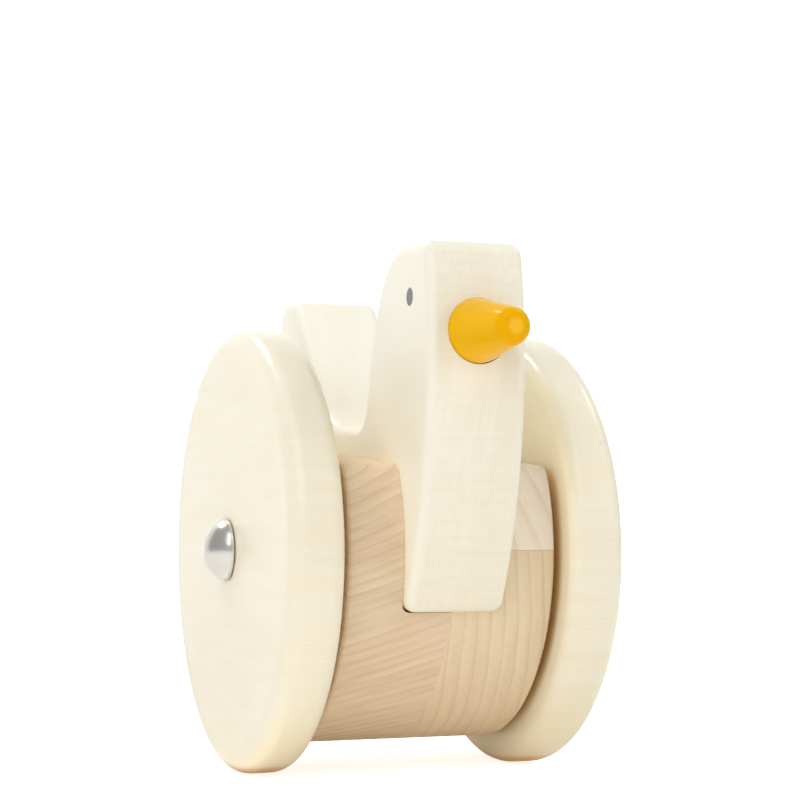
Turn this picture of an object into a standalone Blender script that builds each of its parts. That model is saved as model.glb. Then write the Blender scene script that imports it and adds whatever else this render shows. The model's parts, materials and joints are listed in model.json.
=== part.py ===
"""Wheeled hen toy: a flat-topped wooden barrel hangs on an axle between two disc wheels.

A hen sawn from one board stands in a slot across the barrel. Metres, +Z up. The hen looks
along -Y and the axle lies along X. The origin is on the floor, under the middle of the toy.
"""

import math

import bmesh
import bpy

# Wheels
WHEEL_RADIUS = 0.045
WHEEL_THICKNESS = 0.0111
WHEEL_EDGE_RADIUS = 0.0036

# Barrel, glued up from a left block and an upper and a lower right block
GROUND_CLEARANCE = 0.0058
BARREL_LENGTH = 0.0424
BARREL_FLAT_HEIGHT = 0.0198
BARREL_FLAT_CORNER_RADIUS = 0.003
BARREL_EDGE_RADIUS = 0.0008
BLOCK_SEAM_HEIGHT = 0.0037
SLOT_DEPTH_BELOW_AXLE = 0.0080
LEFT_SLOT_EXTRA_DEPTH = 0.0004

# Hen board: heights are above the axle, and lengths are forward (-Y) or back (+Y) of it
HEN_THICKNESS = 0.020
HEN_EDGE_RADIUS = 0.0022
BREAST_REACH = 0.0491
RUMP_REACH = 0.0496
HEN_SIDE_RADIUS = 0.108
HEN_WAIST_HEIGHT = 0.033
HEN_FOOT_CORNER_RADIUS = 0.0025
HEAD_HEIGHT = 0.0628
HEAD_FRONT_CORNER_RADIUS = 0.003
CROWN_DROP = 0.0010
CROWN_FORWARD = 0.0255
CROWN_RADIUS = 0.014
NAPE_DROP = 0.0112
NAPE_FORWARD = 0.0179
NAPE_RADIUS = 0.020
SADDLE_HEIGHT = 0.0257
SADDLE_FRONT = 0.0116
SADDLE_FRONT_RADIUS = 0.006
SADDLE_BACK = 0.0110
SADDLE_BACK_RADIUS = 0.015
TAIL_HEIGHT = 0.0518
TAIL_SLOPE = math.radians(43.0)
TAIL_FRONT_CORNER_RADIUS = 0.0025
TAIL_BACK_CORNER_RADIUS = 0.0055

# Beak peg, turned with a tenon
BEAK_HEIGHT = 0.0459
BEAK_TILT = math.radians(3.2)
BEAK_LENGTH = 0.0174
BEAK_BASE_RADIUS = 0.00625
BEAK_TIP_RADIUS = 0.0037
BEAK_TIP_DOME = 0.0029
BEAK_SEAT_DEPTH = 0.0006
TENON_RADIUS = 0.004
TENON_LENGTH = 0.012

# Axle, spacers and push-on caps
AXLE_RADIUS = 0.003
AXLE_CHAMFER = 0.0005
AXLE_END_IN_CAP = 0.0030
SPACER_RADIUS = 0.0075
SPACER_THICKNESS = 0.00125
CAP_RADIUS = 0.00625
CAP_HEIGHT = 0.0055
CAP_SKIRT = 0.0007
CAP_WALL = 0.0005
GRIP_THICKNESS = 0.0005
GRIP_TEETH = 6
GRIP_TOOTH_LENGTH = 0.0012
GRIP_TOOTH_SHARE = 0.62

# Steel counterweight, shut in a pocket under the slot
POCKET_SIDE_WALL = 0.0033
POCKET_END_WALL = 0.0037
COUNTERWEIGHT_CHAMFER = 0.001

# Clearances
RUNNING_GAP = 0.0003
FIT_GAP = 0.0002
SLOT_GAP = 0.0002
GLUE_LINE = 0.0002

# How far the body hangs nose-down on the axle, with the counterweight below it
BODY_LEAN = math.radians(5.0)

# Facets
ROUND_STEPS = 64
SMALL_ROUND_STEPS = 32
ARC_STEPS = 4
DOME_STEPS = 6
SIDE_ARC_STEPS = 9
SHARP_EDGE_ANGLE = math.radians(40.0)
WELD_DISTANCE = 0.000001
CUT_MARGIN = 0.005

# Materials: colour, roughness and metallic
MATERIALS = {
    "cream_lacquered_wood": ((0.84, 0.79, 0.66), 0.22, 0.0),
    "bare_maple": ((0.65, 0.46, 0.30), 0.55, 0.0),
    "yellow_lacquered_wood": ((0.85, 0.42, 0.02), 0.18, 0.0),
    "plain_steel": ((0.55, 0.55, 0.56), 0.35, 1.0),
    "spring_steel": ((0.32, 0.33, 0.36), 0.40, 1.0),
    "nickel_plate": ((0.75, 0.74, 0.72), 0.12, 1.0),
    "white_nylon": ((0.80, 0.80, 0.77), 0.45, 0.0),
}

# Sizes that follow from the driving ones
BARREL_RADIUS = WHEEL_RADIUS - GROUND_CLEARANCE
BARREL_HALF = BARREL_LENGTH / 2
HEN_HALF = HEN_THICKNESS / 2
SLOT_HALF = HEN_HALF + SLOT_GAP
SPACER_INNER_X = BARREL_HALF + RUNNING_GAP
WHEEL_INNER_X = SPACER_INNER_X + SPACER_THICKNESS + RUNNING_GAP
WHEEL_OUTER_X = WHEEL_INNER_X + WHEEL_THICKNESS
CAP_BASE_X = WHEEL_OUTER_X + RUNNING_GAP
AXLE_HALF = CAP_BASE_X + AXLE_END_IN_CAP
WHEEL_BORE_RADIUS = AXLE_RADIUS + FIT_GAP
AXLE_HOLE_RADIUS = AXLE_RADIUS + FIT_GAP
DEEPEST_SLOT = SLOT_DEPTH_BELOW_AXLE + SLOT_GAP + LEFT_SLOT_EXTRA_DEPTH
POCKET_RADIUS = (BARREL_RADIUS - DEEPEST_SLOT) / 2 - POCKET_SIDE_WALL
POCKET_DEPTH = (BARREL_RADIUS + DEEPEST_SLOT) / 2
POCKET_HALF = BARREL_HALF - POCKET_END_WALL


def bowed_reach(reach, height):
    """Distance of the hen's bowed front or back edge from the axle's plane at a height."""
    rise = height - HEN_WAIST_HEIGHT
    return reach - HEN_SIDE_RADIUS + math.sqrt(HEN_SIDE_RADIUS**2 - rise**2)


BEAK_ROOT_Y = -bowed_reach(BREAST_REACH, BEAK_HEIGHT)
BEAK_TIP_Y = BEAK_ROOT_Y - BEAK_LENGTH * math.cos(BEAK_TILT)
BEAK_TIP_Z = BEAK_HEIGHT + BEAK_LENGTH * math.sin(BEAK_TILT)
FRONT_REACH = BEAK_TIP_Z * math.sin(BODY_LEAN) - BEAK_TIP_Y * math.cos(BODY_LEAN)
RUMP_CENTRE_Y = RUMP_REACH - HEN_SIDE_RADIUS
RUMP_CENTRE_BACK = RUMP_CENTRE_Y * math.cos(BODY_LEAN) - HEN_WAIST_HEIGHT * math.sin(BODY_LEAN)
BACK_REACH = max(WHEEL_RADIUS, RUMP_CENTRE_BACK + HEN_SIDE_RADIUS)
AXLE_Y = (FRONT_REACH - BACK_REACH) / 2
AXLE_POINT = (0.0, AXLE_Y, WHEEL_RADIUS)


def clear_scene():
    for old in list(bpy.data.objects):
        bpy.data.objects.remove(old, do_unlink=True)


def new_collection(name):
    collection = bpy.data.collections.new(name)
    bpy.context.scene.collection.children.link(collection)
    return collection


def new_material(name):
    colour, roughness, metallic = MATERIALS[name]
    material = bpy.data.materials.new(name)
    material.use_nodes = True
    shader = material.node_tree.nodes["Principled BSDF"]
    shader.inputs["Base Color"].default_value = (*colour, 1.0)
    shader.inputs["Roughness"].default_value = roughness
    shader.inputs["Metallic"].default_value = metallic
    return material


def new_empty(name, collection, location, lean=0.0):
    empty = bpy.data.objects.new(name, None)
    empty.location = location
    empty.rotation_euler.x = lean
    collection.objects.link(empty)
    return empty


def new_object(name, data, collection, parent=None, material=None):
    piece = bpy.data.objects.new(name, data)
    piece.parent = parent
    collection.objects.link(piece)
    if material is not None:
        data.materials.append(material)
    return piece


def make_cutter(piece):
    piece.hide_render = True
    piece.display_type = "WIRE"
    return piece


def smooth_round(mesh):
    mesh.shade_smooth()
    mesh.set_sharp_from_angle(angle=SHARP_EDGE_ANGLE)


def arc_points(centre, radius, start, end, steps):
    """Points on a circular arc, both ends included; radius may be a pair for an ellipse."""
    radius_a, radius_b = radius if isinstance(radius, tuple) else (radius, radius)
    points = []
    for step in range(steps + 1):
        angle = start + (end - start) * step / steps
        points.append((centre[0] + radius_a * math.cos(angle), centre[1] + radius_b * math.sin(angle)))
    return points


def fillet(before, corner, after, radius):
    """Arc that rounds a corner, no longer than half of the sides that it joins."""
    to_before = (before[0] - corner[0], before[1] - corner[1])
    to_after = (after[0] - corner[0], after[1] - corner[1])
    length_before = math.hypot(*to_before)
    length_after = math.hypot(*to_after)
    unit_before = (to_before[0] / length_before, to_before[1] / length_before)
    unit_after = (to_after[0] / length_after, to_after[1] / length_after)
    half_angle = math.acos(unit_before[0] * unit_after[0] + unit_before[1] * unit_after[1]) / 2
    tangent = min(radius / math.tan(half_angle), length_before / 2, length_after / 2)
    radius = tangent * math.tan(half_angle)
    bisector = (unit_before[0] + unit_after[0], unit_before[1] + unit_after[1])
    scale = radius / math.sin(half_angle) / math.hypot(*bisector)
    centre = (corner[0] + bisector[0] * scale, corner[1] + bisector[1] * scale)
    first = (corner[0] + unit_before[0] * tangent, corner[1] + unit_before[1] * tangent)
    last = (corner[0] + unit_after[0] * tangent, corner[1] + unit_after[1] * tangent)
    start = math.atan2(first[1] - centre[1], first[0] - centre[0])
    turn = math.atan2(last[1] - centre[1], last[0] - centre[0]) - start
    turn = (turn + math.pi) % (2 * math.pi) - math.pi
    return arc_points(centre, radius, start, start + turn, ARC_STEPS)


def rounded_outline(corners):
    """Closed outline from (y, z, radius) corners; a corner of radius 0 stays a plain point."""
    points = []
    for index, (y, z, radius) in enumerate(corners):
        before = corners[index - 1]
        after = corners[(index + 1) % len(corners)]
        if radius > 0:
            points.extend(fillet(before, (y, z), after, radius))
        else:
            points.append((y, z))
    return points


def outline_mesh(name, outlines, half_thickness, edge_radius):
    """Board sawn to closed (y, z) outlines, centred on X = 0, with its long edges rounded."""
    curve = bpy.data.curves.new(name + "_outline", "CURVE")
    curve.dimensions = "2D"
    curve.fill_mode = "BOTH"
    curve.extrude = half_thickness - edge_radius
    curve.bevel_depth = edge_radius
    curve.bevel_resolution = 1
    curve.offset = -edge_radius
    for outline in outlines:
        spline = curve.splines.new("POLY")
        spline.points.add(len(outline) - 1)
        for point, (y, z) in zip(spline.points, outline):
            point.co = (y, z, 0.0, 1.0)
        spline.use_cyclic_u = True
    drawing = bpy.data.objects.new(name + "_drawing", curve)
    bpy.context.scene.collection.objects.link(drawing)
    # the drawing's own X, Y and Z become Y, Z and X
    drawing.rotation_euler = (math.pi / 2, 0.0, math.pi / 2)
    bpy.context.view_layer.update()
    evaluated = drawing.evaluated_get(bpy.context.evaluated_depsgraph_get())
    mesh = bpy.data.meshes.new_from_object(evaluated)
    mesh.transform(drawing.matrix_world)
    mesh.name = name
    bpy.data.objects.remove(drawing, do_unlink=True)
    weld = bmesh.new()
    weld.from_mesh(mesh)
    bmesh.ops.remove_doubles(weld, verts=weld.verts, dist=WELD_DISTANCE)
    bmesh.ops.recalc_face_normals(weld, faces=weld.faces)
    weld.to_mesh(mesh)
    weld.free()
    smooth_round(mesh)
    return mesh


def turned_object(name, profile, collection, parent, material=None, steps=SMALL_ROUND_STEPS, ring=False):
    """Turned piece about its own Z axis, from (radius, height) points down its outer side."""
    mesh = bpy.data.meshes.new(name)
    lathe = bmesh.new()
    verts = [lathe.verts.new((radius, 0.0, height)) for radius, height in profile]
    for first, second in zip(verts, verts[1:]):
        lathe.edges.new((first, second))
    if ring:
        lathe.edges.new((verts[-1], verts[0]))
    lathe.to_mesh(mesh)
    lathe.free()
    piece = new_object(name, mesh, collection, parent, material)
    screw = piece.modifiers.new("turn", "SCREW")
    screw.axis = "Z"
    screw.steps = steps
    screw.render_steps = steps
    screw.use_merge_vertices = True
    screw.merge_threshold = WELD_DISTANCE
    screw.use_smooth_shade = True
    return piece


def box_cutter(name, low, high, collection, parent):
    mesh = bpy.data.meshes.new(name)
    box = bmesh.new()
    bmesh.ops.create_cube(box, size=1.0)
    size = [top - bottom for bottom, top in zip(low, high)]
    middle = [(top + bottom) / 2 for bottom, top in zip(low, high)]
    bmesh.ops.scale(box, vec=size, verts=box.verts)
    bmesh.ops.translate(box, vec=middle, verts=box.verts)
    box.to_mesh(mesh)
    box.free()
    return make_cutter(new_object(name, mesh, collection, parent))


def rod_cutter(name, radius, half_length, height, collection, parent):
    """Round cutter along X at a height above the axle."""
    profile = [(0.0, half_length), (radius, half_length), (radius, -half_length), (0.0, -half_length)]
    cutter = turned_object(name, profile, collection, parent)
    cutter.location.z = height
    cutter.rotation_euler.y = math.pi / 2
    return make_cutter(cutter)


def boolean(piece, cutter, operation="DIFFERENCE"):
    cut = piece.modifiers.new(cutter.name, "BOOLEAN")
    cut.object = cutter
    cut.operation = operation
    cut.solver = "EXACT"


def place_on_side(piece, side, distance):
    """Stand a turned piece on the axle line, its own +Z pointing away from the middle."""
    piece.location.x = side * distance
    piece.rotation_euler.y = side * math.pi / 2


def hen_outline():
    """Side view of the hen, from the foot of the breast up, over head, saddle and tail."""
    foot = -SLOT_DEPTH_BELOW_AXLE
    crown_height = HEAD_HEIGHT - CROWN_DROP
    nape_height = HEAD_HEIGHT - NAPE_DROP
    tail_front = SADDLE_BACK + (TAIL_HEIGHT - SADDLE_HEIGHT) / math.tan(TAIL_SLOPE)
    corners = []
    for step in range(SIDE_ARC_STEPS + 1):
        height = foot + (HEAD_HEIGHT - foot) * step / SIDE_ARC_STEPS
        corners.append([-bowed_reach(BREAST_REACH, height), height, 0.0])
    corners[0][2] = HEN_FOOT_CORNER_RADIUS
    corners[-1][2] = HEAD_FRONT_CORNER_RADIUS
    corners.append([-CROWN_FORWARD, crown_height, CROWN_RADIUS])
    corners.append([-NAPE_FORWARD, nape_height, NAPE_RADIUS])
    corners.append([-SADDLE_FRONT, SADDLE_HEIGHT, SADDLE_FRONT_RADIUS])
    corners.append([SADDLE_BACK, SADDLE_HEIGHT, SADDLE_BACK_RADIUS])
    corners.append([tail_front, TAIL_HEIGHT, TAIL_FRONT_CORNER_RADIUS])
    back_start = len(corners)
    for step in range(SIDE_ARC_STEPS + 1):
        height = TAIL_HEIGHT + (foot - TAIL_HEIGHT) * step / SIDE_ARC_STEPS
        corners.append([bowed_reach(RUMP_REACH, height), height, 0.0])
    corners[back_start][2] = TAIL_BACK_CORNER_RADIUS
    corners[-1][2] = HEN_FOOT_CORNER_RADIUS
    return rounded_outline(corners)


def barrel_outline():
    """End view of the barrel: a circle cut flat on top, with the two corners rounded."""
    flat_angle = math.asin(BARREL_FLAT_HEIGHT / BARREL_RADIUS)
    start = math.pi - flat_angle
    end = 2 * math.pi + flat_angle
    around = arc_points((0.0, 0.0), BARREL_RADIUS, start, end, ROUND_STEPS)
    front = fillet(around[-1], around[0], around[2], BARREL_FLAT_CORNER_RADIUS)
    back = fillet(around[-3], around[-1], around[0], BARREL_FLAT_CORNER_RADIUS)
    return front + around[2:-2] + back


def build_hen(collection, cutters, body, axle_hole, material):
    mesh = outline_mesh("hen", [hen_outline()], HEN_HALF, HEN_EDGE_RADIUS)
    hen = new_object("hen", mesh, collection, body, material)
    boolean(hen, axle_hole)
    socket_profile = [
        (0.0, BEAK_LENGTH),
        (BEAK_BASE_RADIUS + FIT_GAP, BEAK_LENGTH),
        (BEAK_BASE_RADIUS + FIT_GAP, -FIT_GAP),
        (TENON_RADIUS + FIT_GAP, -FIT_GAP),
        (TENON_RADIUS + FIT_GAP, -TENON_LENGTH - FIT_GAP),
        (0.0, -TENON_LENGTH - FIT_GAP),
    ]
    socket = make_cutter(turned_object("beak_socket", socket_profile, cutters, body))
    place_beak(socket)
    boolean(hen, socket)
    return hen


def place_beak(piece):
    """Put a turned piece on the beak's axis, with its shoulder on the seat cut in the head."""
    piece.location.y = BEAK_ROOT_Y + BEAK_SEAT_DEPTH * math.cos(BEAK_TILT)
    piece.location.z = BEAK_HEIGHT - BEAK_SEAT_DEPTH * math.sin(BEAK_TILT)
    piece.rotation_euler.x = math.pi / 2 - BEAK_TILT


def build_beak(collection, body, material):
    length = BEAK_LENGTH + BEAK_SEAT_DEPTH
    flank_top = length - BEAK_TIP_DOME
    dome = arc_points((0.0, flank_top), (BEAK_TIP_RADIUS, BEAK_TIP_DOME), math.pi / 2, 0.0, ARC_STEPS)
    tenon = [
        (BEAK_BASE_RADIUS, 0.0),
        (TENON_RADIUS, 0.0),
        (TENON_RADIUS, -TENON_LENGTH),
        (0.0, -TENON_LENGTH),
    ]
    beak = turned_object("beak", dome + tenon, collection, body, material)
    place_beak(beak)


def build_barrel(collection, cutters, body, axle_hole, material):
    """The barrel's three glued blocks, with the slot, the axle hole and the weight's pocket."""
    far = BARREL_RADIUS + CUT_MARGIN
    seam = GLUE_LINE / 2
    pocket = rod_cutter("pocket", POCKET_RADIUS, POCKET_HALF, -POCKET_DEPTH, cutters, body)
    split = BLOCK_SEAM_HEIGHT
    blocks = {
        "left_block": ((-far, -far, -far), (-seam, far, far)),
        "right_upper_block": ((seam, -far, split + seam), (far, far, far)),
        "right_lower_block": ((seam, -far, -far), (far, far, split - seam)),
    }
    for name, (low, high) in blocks.items():
        mesh = outline_mesh(name, [barrel_outline()], BARREL_HALF, BARREL_EDGE_RADIUS)
        block = new_object(name, mesh, collection, body, material)
        boolean(block, box_cutter(name + "_stock", low, high, cutters, body), "INTERSECT")
        floor = -SLOT_DEPTH_BELOW_AXLE - SLOT_GAP
        if name == "left_block":
            floor -= LEFT_SLOT_EXTRA_DEPTH
        slot_low = (-SLOT_HALF, -far, floor)
        slot_high = (SLOT_HALF, far, far)
        boolean(block, box_cutter(name + "_slot", slot_low, slot_high, cutters, body))
        boolean(block, axle_hole)
        if name != "right_upper_block":
            boolean(block, pocket)


def build_counterweight(collection, body, material):
    radius = POCKET_RADIUS - FIT_GAP
    half = POCKET_HALF - FIT_GAP
    chamfer = COUNTERWEIGHT_CHAMFER
    profile = [
        (0.0, half),
        (radius - chamfer, half),
        (radius, half - chamfer),
        (radius, chamfer - half),
        (radius - chamfer, -half),
        (0.0, -half),
    ]
    weight = turned_object("counterweight", profile, collection, body, material)
    weight.location.z = -POCKET_DEPTH
    weight.rotation_euler.y = math.pi / 2


def build_axle(collection, body, material):
    profile = [
        (0.0, AXLE_HALF),
        (AXLE_RADIUS - AXLE_CHAMFER, AXLE_HALF),
        (AXLE_RADIUS, AXLE_HALF - AXLE_CHAMFER),
        (AXLE_RADIUS, AXLE_CHAMFER - AXLE_HALF),
        (AXLE_RADIUS - AXLE_CHAMFER, -AXLE_HALF),
        (0.0, -AXLE_HALF),
    ]
    axle = turned_object("axle", profile, collection, body, material)
    axle.rotation_euler.y = math.pi / 2


def build_wheel(name, side, collection, hub, material):
    edge = WHEEL_EDGE_RADIUS
    rim = WHEEL_RADIUS - edge
    outer = arc_points((rim, WHEEL_THICKNESS - edge), edge, math.pi / 2, 0.0, ARC_STEPS)
    inner = arc_points((rim, edge), edge, 0.0, -math.pi / 2, ARC_STEPS)
    bore = [(WHEEL_BORE_RADIUS, 0.0), (WHEEL_BORE_RADIUS, WHEEL_THICKNESS)]
    wheel = turned_object(name, outer + inner + bore, collection, hub, material, ROUND_STEPS, ring=True)
    place_on_side(wheel, side, WHEEL_INNER_X)


def build_spacer(name, side, collection, body, material):
    hole = AXLE_HOLE_RADIUS
    profile = [
        (hole, SPACER_THICKNESS),
        (SPACER_RADIUS, SPACER_THICKNESS),
        (SPACER_RADIUS, 0.0),
        (hole, 0.0),
    ]
    spacer = turned_object(name, profile, collection, body, material, ring=True)
    place_on_side(spacer, side, SPACER_INNER_X)


def build_cap(name, side, collection, body, material):
    """Domed sheet-metal cap, open towards the wheel."""
    dome = CAP_HEIGHT - CAP_SKIRT
    centre = (0.0, CAP_SKIRT)
    hollow = (CAP_RADIUS - CAP_WALL, dome - CAP_WALL)
    outside = arc_points(centre, (CAP_RADIUS, dome), math.pi / 2, 0.0, DOME_STEPS)
    inside = arc_points(centre, hollow, 0.0, math.pi / 2, DOME_STEPS)
    rim = [(CAP_RADIUS, 0.0), (CAP_RADIUS - CAP_WALL, 0.0)]
    cap = turned_object(name, outside + rim + inside, collection, body, material)
    place_on_side(cap, side, CAP_BASE_X)


def build_grip(name, side, collection, body, material):
    """Toothed spring ring that holds a cap on the axle."""
    outer_radius = CAP_RADIUS - CAP_WALL - FIT_GAP
    tip_radius = AXLE_RADIUS + FIT_GAP
    root_radius = tip_radius + GRIP_TOOTH_LENGTH
    outer = arc_points((0.0, 0.0), outer_radius, 0.0, 2 * math.pi, SMALL_ROUND_STEPS)[:-1]
    teeth = []
    pitch = 2 * math.pi / GRIP_TEETH
    for tooth in range(GRIP_TEETH):
        start = tooth * pitch
        root = start + GRIP_TOOTH_SHARE * pitch
        teeth.extend(arc_points((0.0, 0.0), tip_radius, start, root, ARC_STEPS))
        teeth.extend(arc_points((0.0, 0.0), root_radius, root, start + pitch, ARC_STEPS))
    mesh = outline_mesh(name, [outer, teeth], GRIP_THICKNESS / 2, 0.0)
    grip = new_object(name, mesh, collection, body, material)
    grip.location.x = side * (CAP_BASE_X + FIT_GAP + GRIP_THICKNESS / 2)


def main():
    clear_scene()
    parts = new_collection("wheeled_hen_toy")
    cutters = new_collection("cutters")
    materials = {name: new_material(name) for name in MATERIALS}
    cream = materials["cream_lacquered_wood"]
    steel = materials["plain_steel"]

    body = new_empty("body_hang", parts, AXLE_POINT, BODY_LEAN)
    hub = new_empty("wheel_hub", parts, AXLE_POINT)
    hole_half = BARREL_HALF + CUT_MARGIN
    axle_hole = rod_cutter("axle_hole", AXLE_HOLE_RADIUS, hole_half, 0.0, cutters, body)

    build_hen(parts, cutters, body, axle_hole, cream)
    build_beak(parts, body, materials["yellow_lacquered_wood"])
    build_barrel(parts, cutters, body, axle_hole, materials["bare_maple"])
    build_counterweight(parts, body, steel)
    build_axle(parts, body, steel)
    for word, side in (("left", -1), ("right", 1)):
        build_wheel(word + "_wheel", side, parts, hub, cream)
        build_spacer(word + "_spacer", side, parts, body, materials["white_nylon"])
        build_cap(word + "_axle_cap", side, parts, body, materials["nickel_plate"])
        build_grip(word + "_cap_grip", side, parts, body, materials["spring_steel"])


main()
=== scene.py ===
"""Looks of a wheeled wooden hen toy, laid out as an add-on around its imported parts."""

import json
import math

import bmesh
import bpy
from bpy.props import FloatProperty, FloatVectorProperty, PointerProperty
from mathutils import Matrix, Vector


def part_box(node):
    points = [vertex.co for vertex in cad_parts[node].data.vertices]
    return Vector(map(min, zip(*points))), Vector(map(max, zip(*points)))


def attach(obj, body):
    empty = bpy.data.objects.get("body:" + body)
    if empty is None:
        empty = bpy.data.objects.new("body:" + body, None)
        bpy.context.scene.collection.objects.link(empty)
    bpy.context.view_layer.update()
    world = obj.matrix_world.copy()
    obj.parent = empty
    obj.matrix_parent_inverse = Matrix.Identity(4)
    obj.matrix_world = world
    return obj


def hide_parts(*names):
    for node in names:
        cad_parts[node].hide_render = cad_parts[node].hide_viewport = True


bl_info = {
    "name": "Wheeled Hen Toy",
    "version": (1, 0, 0),
    "blender": (4, 5, 0),
    "location": "3D View > Sidebar > Hen Toy",
    "description": "Builds the visible pieces, finishes and stage of a wheeled wooden hen toy",
    "category": "Object",
}

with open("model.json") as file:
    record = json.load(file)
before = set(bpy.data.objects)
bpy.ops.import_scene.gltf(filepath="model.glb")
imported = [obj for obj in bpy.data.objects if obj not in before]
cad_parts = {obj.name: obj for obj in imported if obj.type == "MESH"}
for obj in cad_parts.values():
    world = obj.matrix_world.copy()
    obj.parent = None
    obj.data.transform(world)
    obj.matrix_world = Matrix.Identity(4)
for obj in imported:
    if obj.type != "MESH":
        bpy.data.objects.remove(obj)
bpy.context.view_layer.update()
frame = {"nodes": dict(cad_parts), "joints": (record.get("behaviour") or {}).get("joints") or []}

AXLE = Vector((0.0, *frame["joints"][0]["pos_m"][1:]))
LEFT_WHEEL_LOW, LEFT_WHEEL_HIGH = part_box("left_wheel")
LEFT_CAP_LOW, LEFT_CAP_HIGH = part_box("left_axle_cap")
HEN_LOW, HEN_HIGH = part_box("hen")
BARREL_END = -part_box("left_block")[0].x
WHEEL_RADIUS = (LEFT_WHEEL_HIGH.z - LEFT_WHEEL_LOW.z) / 2
UP = Vector((0.0, 0.0, 1.0))
ALONG_AXLE = Vector((1.0, 0.0, 0.0))
UNTURNED = (0.0, 0.0, 0.0)
WHITE = (1.0, 1.0, 1.0)
SIDES = (("left", -1), ("right", 1))

WELD_DISTANCE = 0.000001
SHARP_EDGE_ANGLE = math.radians(35.0)
WHEEL_STEPS = 180
WHEEL_EDGE_STEPS = 12
BARREL_STEPS = 240
BARREL_CORNER_STEPS = 8
BARREL_EDGE_STEPS = 4
HEN_BOW_STEPS = 24
HEN_CORNER_STEPS = 10
HEN_EDGE_STEPS = 6
BEAK_STEPS = 128
BEAK_END_STEPS = 12
BEAK_SEAT_STEPS = 96
CAP_ROUND_STEPS = 96
CAP_RISE_STEPS = 48
SWEEP_FOLD_STEPS = 16

# Sockets of a Mix node that carry colours
MIX_FIRST_COLOUR = 6
MIX_SECOND_COLOUR = 7
MIX_COLOUR_RESULT = 2


def length(name, description, default):
    """Property for a length in metres."""
    return FloatProperty(
        name=name, description=description, default=default, min=0.0, precision=5, unit="LENGTH"
    )


def angle(name, description, degrees):
    """Property for an angle, with its default in degrees."""
    return FloatProperty(
        name=name, description=description, default=math.radians(degrees), subtype="ANGLE"
    )


def share(name, description, default):
    """Property for a share of one."""
    return FloatProperty(
        name=name, description=description, default=default, min=0.0, max=1.0, subtype="FACTOR"
    )


def power(name, description, default):
    """Property for a lamp's power in watts."""
    return FloatProperty(name=name, description=description, default=default, min=0.0, unit="POWER")


def colour(name, description, default):
    """Property for a colour."""
    return FloatVectorProperty(
        name=name, description=description, default=default, size=3, min=0.0, max=1.0, subtype="COLOR"
    )


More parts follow.
